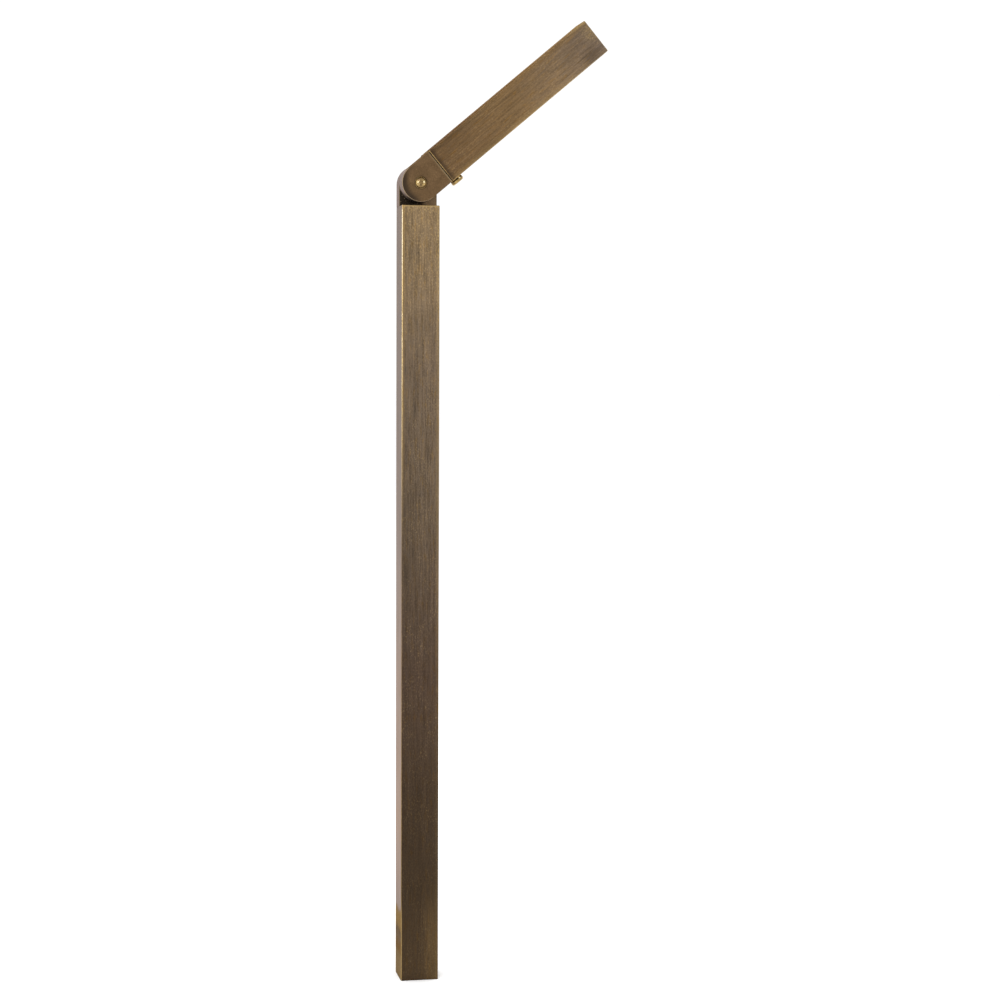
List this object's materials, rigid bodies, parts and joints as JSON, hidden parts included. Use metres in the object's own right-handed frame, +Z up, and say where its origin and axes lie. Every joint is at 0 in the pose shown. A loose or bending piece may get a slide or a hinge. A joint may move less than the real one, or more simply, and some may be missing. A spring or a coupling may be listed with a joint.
{
  "type": "path light",
  "caption": "Slim square-post path light in aged brass with a half-lap tilting knuckle and a linear square head lit from its underside; threaded foot for a ground stake.",
  "frame": {"origin": "centre of the post's foot, on the axis of the stake thread at its mouth", "axes": "+Z up the post, +X towards the side the head leans to, -Y is the front, where the pivot screw's head shows"},
  "size_m": [0.1394, 0.026, 0.6452],
  "materials": {
    "aged_brass": "weathered brushed brass, brown patina, brighter on worn edges",
    "cast_brass": "satin cast brass, brown patina",
    "bright_brass": "machined brass, lightly tarnished",
    "steel": "stainless steel",
    "fibre": "pressed fibre",
    "rubber": "black silicone rubber",
    "lead_sleeve": "insulated lead",
    "carrier_aluminium": "extruded aluminium",
    "board_white": "white solder mask",
    "led_phosphor": "yellow phosphor",
    "driver_case": "potted case",
    "thermal_pad": "soft thermal pad",
    "frosted_lens": "frosted acrylic"
  },
  "bodies": {
    "stem": {"stem_tube": "aged_brass", "stem_knuckle": "cast_brass", "base_plug": "cast_brass", "stem_screws": "bright_brass", "base_grommet": "rubber", "stem_lead": "lead_sleeve", "pivot_screw": "bright_brass", "spring_washer": "steel", "friction_washer": "fibre"},
    "head": {"head_knuckle": "cast_brass", "retaining_screw": "bright_brass", "retaining_washer": "bright_brass", "carrier_screws": "steel", "board_screws": "steel", "knuckle_oring": "rubber", "seam_gasket": "rubber", "lead_bush": "rubber", "head_lead": "lead_sleeve", "hinge_lead_loop": "lead_sleeve", "led_lead": "lead_sleeve", "led_carrier": "carrier_aluminium", "led_board": "board_white", "led_chips": "led_phosphor", "driver_module": "driver_case", "driver_pad": "thermal_pad"},
    "shroud": {"head_tube": "aged_brass", "head_end_cap": "aged_brass", "lens": "frosted_lens", "lens_gasket": "rubber"}
  },
  "joints": [
    {"name": "head_tilt", "type": "hinge", "parent": "stem", "child": "head", "pos_m": [0, 0, 0.5356], "axis": [0, 1, 0], "range_deg": [-143.85, 44.15]},
    {"name": "shroud_slide", "type": "slide", "parent": "head", "child": "shroud", "axis": [0.7644, 0, 0.6448], "range_m": [0, 0.126]}
  ]
}
